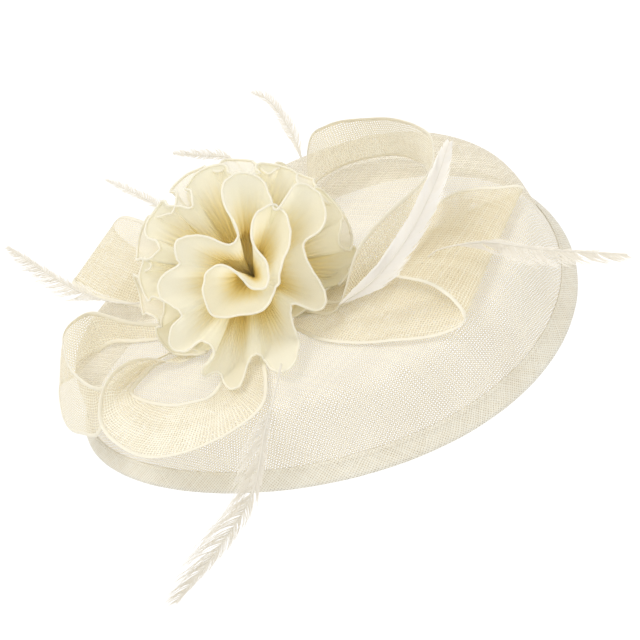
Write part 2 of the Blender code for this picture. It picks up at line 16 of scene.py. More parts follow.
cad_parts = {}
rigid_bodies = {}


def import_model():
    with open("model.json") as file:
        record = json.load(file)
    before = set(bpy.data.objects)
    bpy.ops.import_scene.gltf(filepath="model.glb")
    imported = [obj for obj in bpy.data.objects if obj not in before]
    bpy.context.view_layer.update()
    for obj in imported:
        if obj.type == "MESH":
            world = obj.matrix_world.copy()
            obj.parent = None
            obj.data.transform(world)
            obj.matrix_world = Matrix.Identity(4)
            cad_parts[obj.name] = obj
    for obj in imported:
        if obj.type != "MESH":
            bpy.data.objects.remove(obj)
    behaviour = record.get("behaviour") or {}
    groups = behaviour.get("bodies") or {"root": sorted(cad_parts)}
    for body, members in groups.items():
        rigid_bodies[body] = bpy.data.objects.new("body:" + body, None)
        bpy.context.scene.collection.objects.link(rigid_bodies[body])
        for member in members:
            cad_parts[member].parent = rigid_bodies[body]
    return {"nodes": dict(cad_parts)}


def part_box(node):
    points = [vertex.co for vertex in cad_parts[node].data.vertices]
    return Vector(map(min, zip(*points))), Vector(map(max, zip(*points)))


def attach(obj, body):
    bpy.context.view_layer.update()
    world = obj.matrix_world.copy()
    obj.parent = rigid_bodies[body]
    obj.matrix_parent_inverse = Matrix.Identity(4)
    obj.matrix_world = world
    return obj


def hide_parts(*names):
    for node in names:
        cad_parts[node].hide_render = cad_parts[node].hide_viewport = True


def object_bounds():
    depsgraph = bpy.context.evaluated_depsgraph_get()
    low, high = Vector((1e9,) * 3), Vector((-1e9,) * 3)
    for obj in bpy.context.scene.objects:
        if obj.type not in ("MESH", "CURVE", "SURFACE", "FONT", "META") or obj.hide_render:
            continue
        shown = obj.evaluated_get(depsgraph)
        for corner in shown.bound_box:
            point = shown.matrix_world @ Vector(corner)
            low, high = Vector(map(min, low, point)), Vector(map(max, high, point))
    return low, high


for leftover in list(bpy.data.objects):
    bpy.data.objects.remove(leftover)
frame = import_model()
CAD_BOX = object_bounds()

MM = 0.001
WELD_GAP = 0.001 * MM
UP = Vector((0, 0, 1))
# Each kind of piece counts its random seeds from one of these.
LOOP_SEED = 11
RUFFLE_SEED = 21
FEATHER_SEED = 41

# Oval base, as in the CAD part. The wall's section is (distance in from the edge, height)
# in mm. The sheet drapes by a little, from some way in.
OVAL_A = 140.0 * MM
OVAL_B = 131.0 * MM
END_DROP = 7.0 * MM
SIDE_LIFT = 9.6 * MM
WALL_SECTION = [(0, 0), (2.8, 4.4), (5, 9.5), (6.6, 16), (7.8, 24), (9.4, 32),
                (11.6, 36.6), (15.5, 39), (22, 39.9)]
CROWN_DOME = 0.8 * MM
BASE_STEPS = 240
BASE_ROWS_PER_SPAN = 4
CROWN_RINGS = 22
DRAPE = 0.5 * MM
DRAPE_START = 8.0 * MM
DRAPE_SCALE = 22.0

# Binding round the brim, and the stitches along both its sewn edges.
BINDING_REACH = 8.4 * MM
BINDING_CLEAR = 1.0 * MM
BINDING_LIP = 0.45 * MM
BINDING_TIP = 2.15 * MM
BINDING_STEPS = 320
BINDING_ROWS = 8
BINDING_EASE = 0.3 * MM
BINDING_RIPPLE = 0.12 * MM
BINDING_RIPPLES = 9
STITCH_PITCH = 3.3 * MM
STITCH_LENGTH = 2.1 * MM
STITCH_RADIUS = 0.16 * MM
STITCH_INSET = 1.5 * MM

# Weaves, in mm: distance between threads, and share of it that a thread covers.
SINAMAY_PITCH = 1.40
SINAMAY_SHARE = 0.56
RIBBON_PITCH = 1.5
RIBBON_SHARE = 0.55
BINDING_PITCH = 1.15
BINDING_SHARE = 0.80
# The binding's threads run at 45 degrees to its edge.
BIAS = sqrt(0.5)
# How far threads stray, in mm, how much their widths differ, how high one is where it goes
# under another, and a number that keeps the two sets' random numbers apart.
THREAD_STRAY = 1.6
THREAD_STRAY_SCALE = 0.12
THREAD_SPREAD = 0.22
UNDER_HEIGHT = 0.5
SET_GAP = 37.5

# Cloth in general.
CLOTH_GLOSS = 0.25
CLOTH_SHEEN = 0.25
SHEEN_SPREAD = 0.5

# Ribbon loops.
RIBBON_ROWS = 12
POINTS_PER_STATION = 9
RIBBON_BOW = 0.7 * MM
RIBBON_RIPPLE = 1.1 * MM
HEM_HALF_WIDTH = 1.1 * MM
HEM_HALF_THICKNESS = 0.35 * MM
HEM_INSET = 0.8

# Flower.
FLOWER_CENTRE = Vector((6.0, -30.0, 62.0)) * MM
FLOWER_RADIUS = 58.0 * MM
FLOWER_FLOOR = 48.0 * MM
EYE_ELEVATION = radians(21.0)
EYE_DIRECTION = radians(-34.0)
PETAL_ROLL = radians(-27.8)
HEM_TUBE_RADIUS = 0.70 * MM

# Camera, lamps and floor. A lamp is its direction, its spread in degrees and its power.
CAMERA_AZIMUTH = radians(52.1)
CAMERA_ELEVATION = radians(30.0)
CAMERA_ROLL = radians(25.8)
CAMERA_DISTANCE = 0.900
CAMERA_LENS = 95.9
CAMERA_SENSOR = 36.0
CAMERA_SHIFT = (-0.0015625, 0.015625)
WORLD_POWER = 0.80
LAMPS = {
    "key": ((-0.25, -0.15, 1.0), 30.0, 1.15),
    "fill": ((0.9, -0.2, 0.55), 40.0, 0.35),
}
FLOOR_DROP = 0.60
FLOOR_SIZE = 8.0


# ---------------- curves through points

def smooth_points(points, count, closed=False):
    """Evenly numbered points on a Catmull-Rom curve through the given points."""
    knots = [Vector(p) for p in points]
    if closed:
        knots = [knots[-1]] + knots + [knots[0], knots[1]]
        spans = len(points)
    else:
        knots = [knots[0] * 2 - knots[1]] + knots + [knots[-1] * 2 - knots[-2]]
        spans = len(points) - 1
    steps = count if closed else count - 1
    result = []
    for i in range(count):
        place = i / steps * spans
        k = min(int(place), spans - 1)
        t = place - k
        a, b, c, d = knots[k:k + 4]
        result.append(
            0.5 * (2 * b + (c - a) * t + (2 * a - 5 * b + 4 * c - d) * t ** 2
                   + (3 * b - a - 3 * c + d) * t ** 3))
    return result


def run_along(points):
    """How far along a polyline each of its points lies."""
    run = [0.0]
    for a, b in zip(points, points[1:]):
        run.append(run[-1] + (b - a).length)
    return run


def evened(points, count):
    """The same polyline with its points at equal distances."""
    run = run_along(points)
    result = []
    k = 0
    for i in range(count):
        goal = run[-1] * i / (count - 1)
        while k < len(points) - 2 and run[k + 1] < goal:
            k += 1
        span = max(run[k + 1] - run[k], 1e-9)
        result.append(points[k].lerp(points[k + 1], (goal - run[k]) / span))
    return result


def wobble(place, seed):
    """A smooth repeatable number between about -1 and 1 at a place."""
    return noise.noise(Vector(place) + Vector((seed, seed * 1.7, -seed)))


# ---------------- shape of the base

def head_bend(x, y):
    """Height that the bend over the head adds at a place in plan."""
    return SIDE_LIFT * (y / OVAL_B) ** 2 - END_DROP * (x / OVAL_A) ** 2


def section_height(inset):
    """Height of the base's middle surface at a distance in from the brim edge."""
    inset = max(0.0, inset / MM)
    for (d0, h0), (d1, h1) in zip(WALL_SECTION, WALL_SECTION[1:]):
        if inset <= d1:
            return (h0 + (h1 - h0) * (inset - d0) / (d1 - d0)) * MM
    centre = OVAL_A / MM - WALL_SECTION[-1][0]
    rise = 1.0 - (1.0 - min(1.0, (inset - WALL_SECTION[-1][0]) / centre)) ** 2
    return WALL_SECTION[-1][1] * MM + CROWN_DOME * rise


def crown_height(x, y):
    """Height of the base's middle surface above a place in plan."""
    inset = (1.0 - hypot(x / OVAL_A, y / OVAL_B)) * OVAL_A
    return section_height(inset) + head_bend(x, y)


def base_section():
    """Smooth (inset, height) points from the brim edge to the middle of the crown."""
    wall = smooth_points([(d * MM, h * MM, 0.0) for d, h in WALL_SECTION],
                         (len(WALL_SECTION) - 1) * BASE_ROWS_PER_SPAN + 1)
    section = [(p.x, p.y) for p in wall]
    start = section[-1][0]
    for k in range(1, CROWN_RINGS + 1):
        inset = start + (OVAL_A - start) * k / CROWN_RINGS
        section.append((inset, section_height(inset)))
    return section


# ---------------- meshes

def finish_mesh(name, bm, materials):
    """A smooth-shaded object made from bm."""
    mesh = bpy.data.meshes.new(name)
    bm.to_mesh(mesh)
    bm.free()
    for material in materials:
        mesh.materials.append(material)
    mesh.shade_smooth()
    thing = bpy.data.objects.new(name, mesh)
    bpy.context.scene.collection.objects.link(thing)
    return thing


def hat_piece(name, bm, materials, node=None):
    """A visible piece that rides on the hat, in place of a CAD node if one is named."""
    piece = finish_mesh(name, bm, materials)
    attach(piece, "hat")
    if node:
        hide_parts(node)
    return piece


def weld(bm):
    """Joins points that meet, and turns the faces outwards."""
    bmesh.ops.remove_doubles(bm, verts=bm.verts, dist=WELD_GAP)
    bmesh.ops.recalc_face_normals(bm, faces=bm.faces)


def grid_mesh(bm, grid, marks=None, closed=False):
    """Quads over rows of points. marks gives each point's UV, with a row more if closed."""
    uv = bm.loops.layers.uv.new("UVMap") if marks else None
    rows = [[bm.verts.new(p) for p in row] for row in grid]
    count = len(rows)
    for i in range(count if closed else count - 1):
        near, far = rows[i], rows[(i + 1) % count]
        for k in range(len(near) - 1):
            face = bm.faces.new((near[k], near[k + 1], far[k + 1], far[k]))
            if uv is None:
                continue
            corners = (marks[i][k], marks[i][k + 1], marks[i + 1][k + 1], marks[i + 1][k])
            for loop, mark in zip(face.loops, corners):
                loop[uv].uv = mark


def tangents_along(points, closed=False):
    """The direction of travel at each point."""
    count = len(points)
    result = []
    for i in range(count):
        a = points[i - 1] if (closed or i > 0) else points[i]
        b = points[(i + 1) % count] if (closed or i < count - 1) else points[i]
        result.append((b - a).normalized())
    return result


def tube(bm, points, radii, sides=6, flat=None, closed=False, slot=0):
    """A tube along points. flat=(directions, share) keeps its width along those only."""
    tangents = tangents_along(points, closed)
    rings = []
    normal = None
    for i, (point, along) in enumerate(zip(points, tangents)):
        if flat:
            normal = flat[0][i]
        elif normal is None:
            normal = along.orthogonal()
        normal = (normal - along * normal.dot(along)).normalized()
        other = along.cross(normal)
        squeeze = flat[1] if flat else 1.0
        ring = []
        for k in range(sides):
            turn = tau * k / sides
            offset = normal * cos(turn) + other * sin(turn) * squeeze
            ring.append(bm.verts.new(point + offset * radii[i]))
        rings.append(ring)
    count = len(rings)
    for i in range(count if closed else count - 1):
        near, far = rings[i], rings[(i + 1) % count]
        for k in range(sides):
            j = (k + 1) % sides
            face = bm.faces.new((near[k], near[j], far[j], far[k]))
            face.material_index = slot
    if not closed:
        for ring in (rings[0][::-1], rings[-1]):
            face = bm.faces.new(ring)
            face.material_index = slot
    bmesh.ops.recalc_face_normals(bm, faces=bm.faces)


# ---------------- material nodes

class Shade:
    """One node material and short ways to add to it."""

    def __init__(self, name):
        self.material = bpy.data.materials.new(name)
        self.material.use_nodes = True
        self.tree = self.material.node_tree
        self.tree.nodes.clear()
        self.out = self.tree.nodes.new("ShaderNodeOutputMaterial")

    def add(self, kind, inputs=None, **settings):
        made = self.tree.nodes.new(kind)
        for key, value in settings.items():
            setattr(made, key, value)
        for key, value in (inputs or {}).items():
            self.put(value, made.inputs[key])
        return made

    def put(self, value, socket):
        """A number goes on the socket, and another node's output is linked to it."""
        if isinstance(value, bpy.types.NodeSocket):
            self.tree.links.new(value, socket)
        else:
            socket.default_value = value

    def math(self, operation, *values):
        inputs = dict(enumerate(values))
        return self.add("ShaderNodeMath", inputs, operation=operation).outputs[0]

    def band(self, value, low, high, out_low=0.0, out_high=1.0):
        """Value taken smoothly from one range to another."""
        inputs = {"Value": value, "From Min": low, "From Max": high,
                  "To Min": out_low, "To Max": out_high}
        return self.add("ShaderNodeMapRange", inputs,
                        interpolation_type="SMOOTHSTEP").outputs[0]

    def blend(self, share, first, second):
        """Between two (red, green, blue) colours."""
        inputs = {0: share, 6: (*first, 1.0), 7: (*second, 1.0)}
        return self.add("ShaderNodeMix", inputs, data_type="RGBA").outputs[2]

    def join(self, *values):
        return self.add("ShaderNodeCombineXYZ", dict(enumerate(values))).outputs[0]

    def uv(self):
        mark = self.add("ShaderNodeUVMap", uv_map="UVMap").outputs[0]
        split = self.add("ShaderNodeSeparateXYZ", {0: mark})
        return split.outputs[0], split.outputs[1]

    def noise(self, vector, scale, detail):
        inputs = {"Scale": scale, "Detail": detail, "Vector": vector}
        return self.add("ShaderNodeTexNoise", inputs).outputs["Fac"]

    def random(self, number):
        """A fixed random share for each whole number."""
        return self.add("ShaderNodeTexWhiteNoise", {"W": number},
                        noise_dimensions="1D").outputs["Value"]

    def place(self):
        return self.add("ShaderNodeTexCoord").outputs["Object"]

    def bump(self, height, strength, distance):
        inputs = {"Strength": strength, "Distance": distance, "Height": height}
        return self.add("ShaderNodeBump", inputs).outputs[0]

    def mix(self, share, first, second):
        """Between two shaders."""
        inputs = {0: share, 1: first.outputs[0], 2: second.outputs[0]}
        return self.add("ShaderNodeMixShader", inputs)

    def done(self, shader):
        self.put(shader.outputs[0], self.out.inputs[0])
        return self.material

    def cloth(self, colour, roughness, normal, glow, sheen=CLOTH_SHEEN, opacity=None):
        """Cloth that shows light from behind, with holes where opacity is low."""
        front = self.add("ShaderNodeBsdfPrincipled", {
            "Base Color": colour, "Roughness": roughness, "Specular IOR Level": CLOTH_GLOSS,
            "Sheen Weight": sheen, "Sheen Roughness": SHEEN_SPREAD, "Normal": normal})
        through = self.add("ShaderNodeBsdfTranslucent", {"Color": colour, "Normal": normal})
        shader = self.mix(glow, front, through)
        if opacity is not None:
            shader = self.mix(opacity, self.add("ShaderNodeBsdfTransparent"), shader)
        return self.done(shader)


def thread_set(shade, coordinate, number, drift, pitch, share):
    """One set of threads: its cover, its round height, each thread's number and tint."""
    moved = shade.math("ADD", coordinate, shade.math("MULTIPLY", drift, THREAD_STRAY))
    turns = shade.math("DIVIDE", moved, pitch)
    count = shade.math("FLOOR", turns)
    tint = shade.random(shade.math("ADD", count, SET_GAP * number))
    width = shade.math("MULTIPLY_ADD", tint, THREAD_SPREAD, share - THREAD_SPREAD / 2)
    away = shade.math("ABSOLUTE", shade.math("SUBTRACT", shade.math("FRACT", turns), 0.5))
    off = shade.math("DIVIDE", shade.math("MULTIPLY", away, 2.0), width)
    cover = shade.band(off, 0.85, 1.1, 1.0, 0.0)
    fall = shade.math("SUBTRACT", 1.0, shade.math("MULTIPLY", off, off))
    height = shade.math("SQRT", shade.math("MAXIMUM", fall, 0.0))
    return cover, height, count, tint


def woven(name, pitch, share, light, dark, glow):
    """Open plain weave: two sets of threads over and under, with see-through holes and painted
    shade where the threads lie low.
    """
    shade = Shade(name)
    u, v = shade.uv()
    drift = shade.noise(shade.join(u, v), THREAD_STRAY_SCALE, 1.0)
    warp = thread_set(shade, u, 0, drift, pitch, share)
    weft = thread_set(shade, v, 1, drift, pitch, share)
    covers, heights, counts, tints = zip(warp, weft)
    parity = shade.math("MODULO", shade.math("ABSOLUTE", shade.math("ADD", *counts)), 2.0)
    rise = shade.math("MULTIPLY_ADD", parity, 1.0 - UNDER_HEIGHT, UNDER_HEIGHT)
    drop = shade.math("MULTIPLY_ADD", parity, UNDER_HEIGHT - 1.0, 1.0)
    over = shade.math("MULTIPLY", heights[0], rise)
    under = shade.math("MULTIPLY", heights[1], drop)
    height = shade.math("MAXIMUM", over, under)
    patch = shade.noise(shade.place(), 35.0, 2.0)
    # Painted shade: colour darkens with each thread's height, on its sides and where it dips
    # under another, times random patches of tone.
    painted_shade_and_patches = shade.math("MULTIPLY", height, shade.math("MULTIPLY_ADD", patch, 0.5, 0.72))
    tint = shade.math("MULTIPLY_ADD", shade.math("ADD", *tints), 0.09, -0.09)
    colour = shade.blend(shade.math("ADD", painted_shade_and_patches, tint), dark, light)
    normal = shade.bump(height, 0.55, 0.25 * MM)
    return shade.cloth(colour, 0.62, normal, glow, opacity=shade.math("MAXIMUM", *covers))


def chiffon(name, root, hem, glow, cover):
    """Fine gathered cloth, with painted warm shade deep near the root and crinkles that run to
    the hem.
    """
    shade = Shade(name)
    u, v = shade.uv()
    crinkle = shade.noise(shade.join(u, shade.math("MULTIPLY", v, 6.0)), 0.9, 3.0)
    grain = shade.noise(shade.place(), 1800.0, 1.0)
    height = shade.math("MULTIPLY_ADD", grain, 0.25, crinkle)
    # Painted warm shade of the flower's hollows: the root colour deep in, fading to the hem
    # colour, and following the crinkles a little.
    painted_shade_fade = shade.band(shade.math("MULTIPLY_ADD", crinkle, 0.25, v), 0.25, 0.95)
    normal = shade.bump(height, 0.35, 0.35 * MM)
    opacity = shade.math("MULTIPLY_ADD", grain, 0.1, cover)
    return shade.cloth(shade.blend(painted_shade_fade, root, hem), 0.55, normal, glow, 0.3, opacity)


def rolled_edge(name, light, dark, glow=0.25):
    """Closely woven folded cloth, as in a hem."""
    shade = Shade(name)
    grain = shade.noise(shade.place(), 1400.0, 2.0)
    patch = shade.noise(shade.place(), 90.0, 2.0)
    tone = shade.math("MULTIPLY_ADD", grain, 0.5, shade.math("MULTIPLY", patch, 0.5))
    normal = shade.bump(grain, 0.3, 0.2 * MM)
    return shade.cloth(shade.blend(tone, dark, light), 0.6, normal, glow)


def plume(name, base, tip):
    """Feather barbs: silky, each with a tone of its own, and paler at their tips."""
    shade = Shade(name)
    u, v = shade.uv()
    own = shade.random(shade.math("FLOOR", u))
    tone = shade.math("MULTIPLY_ADD", own, 0.4, shade.math("MULTIPLY", v, 0.7))
    normal = shade.bump(shade.noise(shade.place(), 2500.0, 1.0), 0.15, 0.1 * MM)
    return shade.cloth(shade.blend(tone, base, tip), 0.45, normal, 0.3, 0.4)


def felt(name, light, dark):
    """Matted wool: coarse lumps with a fine nap."""
    shade = Shade(name)
    coarse = shade.noise(shade.place(), 260.0, 4.0)
    fine = shade.noise(shade.place(), 2200.0, 3.0)
    normal = shade.bump(shade.math("MULTIPLY_ADD", fine, 0.5, coarse), 0.6, 0.4 * MM)
    return shade.cloth(shade.blend(coarse, dark, light), 0.95, normal, 0.05, 0.5)


def spun_thread(name, light, dark):
    """Sewing thread with a slanting twist, and painted shade in the twist's grooves."""
    shade = Shade(name)
    twist = shade.add("ShaderNodeTexWave", {"Scale": 900.0, "Vector": shade.place()},
                      wave_type="BANDS", bands_direction="DIAGONAL").outputs["Fac"]
    normal = shade.bump(twist, 0.5, 0.1 * MM)
    # The darker colour falls where the twist's bump is low: painted shade in its grooves.
    return shade.cloth(shade.blend(twist, dark, light), 0.5, normal, 0.05)


def brushed_steel(name, light, dark):
    """Sheet steel brushed along its length, with faint smears."""
    shade = Shade(name)
    stretch = shade.add("ShaderNodeMapping", {
        "Scale": (40.0, 900.0, 900.0), "Vector": shade.place()})
    grain = shade.noise(stretch.outputs[0], 1.0, 3.0)
    smear = shade.noise(shade.place(), 120.0, 3.0)
    return shade.done(shade.add("ShaderNodeBsdfPrincipled", {
        "Metallic": 1.0, "Base Color": shade.blend(smear, dark, light),
        "Roughness": shade.band(grain, 0.3, 0.7, 0.22, 0.42),
        "Normal": shade.bump(grain, 0.12, 0.1 * MM)}))


def pale_floor(name, light, dark):
    shade = Shade(name)
    patch = shade.noise(shade.place(), 3.0, 2.0)
    return shade.done(shade.add("ShaderNodeBsdfPrincipled", {
        "Roughness": 0.9, "Base Color": shade.blend(patch, dark, light)}))


def make_materials():
    """Every material by name. Colours are (red, green, blue), the lighter one first."""
    return {
        # The darker colour of each woven material is painted shade on its threads' sides and
        # under crossings.
        "sinamay": woven("sinamay", SINAMAY_PITCH, SINAMAY_SHARE,
                         (0.97, 0.92, 0.78), (0.44, 0.35, 0.20), 0.35),
        "ribbon": woven("ribbon", RIBBON_PITCH, RIBBON_SHARE,
                        (1.0, 0.975, 0.85), (0.76, 0.62, 0.35), 0.42),
        "ribbon_hem": rolled_edge("ribbon_hem", (1.0, 0.98, 0.88), (0.97, 0.91, 0.75)),
        "binding": woven("binding", BINDING_PITCH, BINDING_SHARE,
                         (1.0, 0.98, 0.88), (0.82, 0.72, 0.53), 0.25),
        # The thread's darker colour is painted shade in its twist's grooves.
        "thread": spun_thread("thread", (0.96, 0.92, 0.82), (0.82, 0.74, 0.58)),
        # The petals' root colours are painted warm shade in the flower's hollows, weaker in the
        # outer ruffles.
        "petal": chiffon("petal", root=(1.0, 0.86, 0.42), hem=(1.0, 0.98, 0.85),
                         glow=0.62, cover=0.95),
        "petal_outer": chiffon("petal_outer", root=(1.0, 0.91, 0.64), hem=(1.0, 0.97, 0.86),
                               glow=0.55, cover=0.72),
        "petal_hem": rolled_edge("petal_hem", (1.0, 0.98, 0.90), (0.99, 0.95, 0.80), 0.35),
        "barb": plume("barb", base=(0.80, 0.75, 0.64), tip=(0.91, 0.87, 0.79)),
        "barb_pale": plume("barb_pale", base=(0.98, 0.94, 0.86), tip=(1.0, 0.98, 0.94)),
        "quill": rolled_edge("quill", (0.97, 0.94, 0.86), (0.88, 0.83, 0.72)),
        "felt": felt("felt", (0.90, 0.86, 0.76), (0.78, 0.73, 0.62)),
        "steel": brushed_steel("steel", (0.72, 0.72, 0.73), (0.58, 0.58, 0.60)),
        "floor": pale_floor("floor", (0.96, 0.96, 0.96), (0.93, 0.93, 0.93)),
    }


# ---------------- base and binding

def make_base(looks):
    section = base_section()
    run = run_along([Vector(point) for point in section])
    grid, marks = [], []
    for step in range(BASE_STEPS + 1):
        turn = tau * step / BASE_STEPS
        points, uvs = [], []
        for (inset, height), away in zip(section, run):
            x = cos(turn) * (OVAL_A - inset)
            y = sin(turn) * (OVAL_A - inset) * OVAL_B / OVAL_A
            drape = wobble(Vector((x, y, height)) * DRAPE_SCALE, 3.1) * DRAPE
            drape *= min(1.0, inset / DRAPE_START)
            points.append(Vector((x, y, height + head_bend(x, y) + drape)))
            reach = (run[-1] - away) / MM
            uvs.append((reach * cos(turn), reach * sin(turn) * OVAL_B / OVAL_A))
        grid.append(points)
        marks.append(uvs)
    bm = bmesh.new()
    grid_mesh(bm, grid[:-1], marks, closed=True)
    weld(bm)
    return hat_piece("woven_base", bm, [looks["sinamay"]], "sinamay_base")


def brim_point(turn, along_wall, out):
    """Point near the brim edge: a distance up the wall and a distance out of its face."""
    edge, knee, above = (Vector(point) * MM for point in WALL_SECTION[:3])
    lower, upper = knee - edge, above - knee
    if along_wall <= lower.length:
        ahead = lower.normalized()
        place = ahead * along_wall
    else:
        ahead = upper.normalized()
        place = lower + ahead * (along_wall - lower.length)
    place = place + Vector((-ahead.y, ahead.x)) * out
    x = cos(turn) * (OVAL_A - place.x)
    y = sin(turn) * (OVAL_A - place.x) * OVAL_B / OVAL_A
    return Vector((x, y, place.y + head_bend(x, y)))


def binding_half(share):
    """Half the binding's thickness at a share of the way from its sewn edges to the brim."""
    return BINDING_LIP + (BINDING_CLEAR - BINDING_LIP) * share


def binding_profile():
    """(distance up the wall, distance out of its face) from the outer edge round to the inner."""
    side, tip = [], []
    for k in range(BINDING_ROWS + 1):
        share = k / BINDING_ROWS
        side.append((BINDING_REACH * (1 - share), binding_half(share)))
    for k in range(1, BINDING_ROWS):
        turn = pi * k / BINDING_ROWS
        tip.append((-BINDING_TIP * sin(turn), BINDING_CLEAR * cos(turn)))
    lip = [(BINDING_REACH + BINDING_EASE, BINDING_LIP * 0.4)]
    inner = [(s, -n) for s, n in reversed(lip + side)]
    return lip + side + tip + inner


def make_binding(looks):
    profile = binding_profile()
    across = run_along([Vector(point) / MM for point in profile])
    grid, marks = [], []
    perimeter = pi * (OVAL_A + OVAL_B) / MM
    for step in range(BINDING_STEPS + 1):
        turn = tau * step / BINDING_STEPS
        spot = (cos(turn) * BINDING_RIPPLES, sin(turn) * BINDING_RIPPLES, 0)
        ripple = wobble(spot, 8.0) * BINDING_RIPPLE
        along = perimeter * step / BINDING_STEPS
        grid.append([brim_point(turn, s + ripple, n + copysign(ripple, n))
                     for s, n in profile])
        marks.append([((along + w) * BIAS, (along - w) * BIAS) for w in across])
    bm = bmesh.new()
    grid_mesh(bm, grid[:-1], marks, closed=True)
    return hat_piece("bound_edge", bm, [looks["binding"]], "brim_binding")


def make_binding_stitches(looks):
    bm = bmesh.new()
    perimeter = pi * (OVAL_A + OVAL_B)
    count = int(perimeter / STITCH_PITCH)
    up = BINDING_REACH - STITCH_INSET
    for side in (1.0, -1.0):
        out = side * (binding_half(STITCH_INSET / BINDING_REACH) + STITCH_RADIUS * 0.6)
        for k in range(count):
            start = tau * k / count
            end = start + tau * STITCH_LENGTH / perimeter
            spots = []
            for t, sink in ((0.0, 1.0), (0.15, 0.0), (0.85, 0.0), (1.0, 1.0)):
                turn = start + (end - start) * t
                spots.append(brim_point(turn, up, out - side * sink * STITCH_RADIUS))
            tube(bm, spots, [STITCH_RADIUS] * len(spots), sides=5)
    return hat_piece("binding_stitches", bm, [looks["thread"]])


# ---------------- ribbon loops

# Each loop is a strip between two edges. A station gives the lower or inner edge, then the
# upper or outer edge, as (x, y, height) in mm. A height given as a string is measured up
# from the crown. The stations are the CAD part's, but for loop_side's fifth, which lies
# lower here because a thin sheet can come closer to the base than a solid strip.
LOOPS = {
    "loop_back": [
        ((-4, -2, "+1.6"), (8, -1, "+3.0")), ((-14, 24, "+1.6"), (0, 27, "+3.2")),
        ((-28, 50, "+1.6"), (-10, 44, 66)), ((-36, 70, "+1.6"), (-14, 60, 81)),
        ((-28, 84, "+1.6"), (-13, 73, 80)), ((-12, 90, "+2.2"), (-2, 82, 78)),
        ((8, 93, "+2.4"), (14, 86, 77)), ((28, 88, "+2.8"), (34, 82, 77.5)),
        ((52, 66, 54), (60, 69, 80)), ((70, 45, 57), (80, 48, 82)),
        ((76, 22, 57), (90, 26, 82)), ((78, 0, 53), (79, 9, 76)),
        ((69, -14, 48.5), (70, -14, 68)), ((57, -26, "+5.4"), (60, -34, "+5.6")),
        ((34, -24, "+5.0"), (34, -36, "+5.0")),
    ],
    "loop_right": [
        ((34, -20, "+2.6"), (34, -41, "+2.6")), ((48, -4, "+2.8"), (54, -30, "+2.8")),
        ((58, 30, "+6"), (66, -17, "+5.5")), ((68, 56, 49), (76, -9, 47.5)),
        ((82, 63, 50), (88, -10, 49)), ((92, 68, 48), (105, -12, 48)),
        ((99, 74, 45.5), (122, -18, 44)), ((102, 75, 42.5), (130, -25, 39.5)),
        ((97, 71, "+3.2"), (121, -33, 37)), ((84, 60, "+2.0"), (104, -44, "+2.4")),
        ((58, 26, "+1.5"), (68, -52, "+1.5")), ((34, -18, "+1.2"), (36, -45, "+1.2")),
    ],
    "loop_left": [
        ((-22, -22, "+2.8"), (-22, -35, "+2.8")), ((-43, -14, "+3.4"), (-43, -49, "+3.2")),
        ((-60, -10, 58), (-58, -49, "+5.5")), ((-79, -8, 67.5), (-77, -55, 54)),
        ((-104, 0, 66.5), (-96, -57, 59)), ((-124, 4, 64), (-109, -53, 61)),
        ((-133, 2, 58), (-116, -46, 58)), ((-128, 1, 50), (-112, -42, 51)),
        ((-110, -2, "+6"), (-98, -40, "+5")), ((-84, -8, "+3"), (-78, -40, "+2.6")),
        ((-50, -14, "+1.4"), (-48, -42, "+1.4")), ((-22, -23, "+1.2"), (-22, -34, "+1.2")),
    ],
    "loop_side": [
        ((-14, -51, "+1.4"), (-20, -42, "+1.4")), ((-32, -66, "+1.4"), (-39, -56, "+3.2")),
        ((-50, -72, "+1.4"), (-57, -66, 52)), ((-68, -78, "+2.0"), (-74, -72, 61)),
        ((-84, -94, "+1.8"), (-75, -84, 64)), ((-82, -106.5, 37.5), (-70, -96, 65.5)),
        ((-74, -117, 31), (-58, -106, 66)), ((-61, -125, 28), (-48, -114, 64)),
        ((-46, -128, 30), (-38, -118, 60.5)), ((-31, -129, 33), (-28, -119, 56.5)),
        ((-23, -119, 46), (-22, -114, 54)), ((-22, -100, "+1.8"), (-21, -100, 53)),
        ((-22, -84, "+1.5"), (-18, -86, "+4")), ((-14, -60, "+1.4"), (-7, -62, "+1.4")),
    ],
    "loop_front": [
        ((-2, -62, "+1.4"), (7, -63, "+1.4")), ((-12, -80, "+1.4"), (-2, -84, "+2.6")),
        ((-18, -90, "+1.4"), (-15, -92, 54)), ((-17, -98, "+1.4"), (-17, -104, 60)),
        ((-15, -106, "+1.4"), (-15, -117, 62)), ((-12, -111, "+1.6"), (-12, -129, 58.5)),
        ((-3, -114, "+2.2"), (-4, -140, 53)), ((10, -115, "+2.2"), (14, -147, 49.5)),
        ((24, -113, "+2.2"), (35, -149, 48)), ((35, -106, "+2"), (54, -140, 47.5)),
        ((34, -96, "+1.8"), (66, -125, 47)), ((30, -88, "+1.6"), (70, -105, 46)),
        ((24, -78, "+1.4"), (58, -87, 45.5)), ((16, -68, "+1.4"), (38, -68, "+3")),
        ((12, -60, "+1.4"), (24, -58, "+1.4")),
    ],
}


def placed(point):
    """A station's point in metres, with a height above the crown worked out."""
    x, y, z = point
    if isinstance(z, str):
        return Vector((x * MM, y * MM, crown_height(x * MM, y * MM) + float(z) * MM))
    return Vector((x, y, z)) * MM


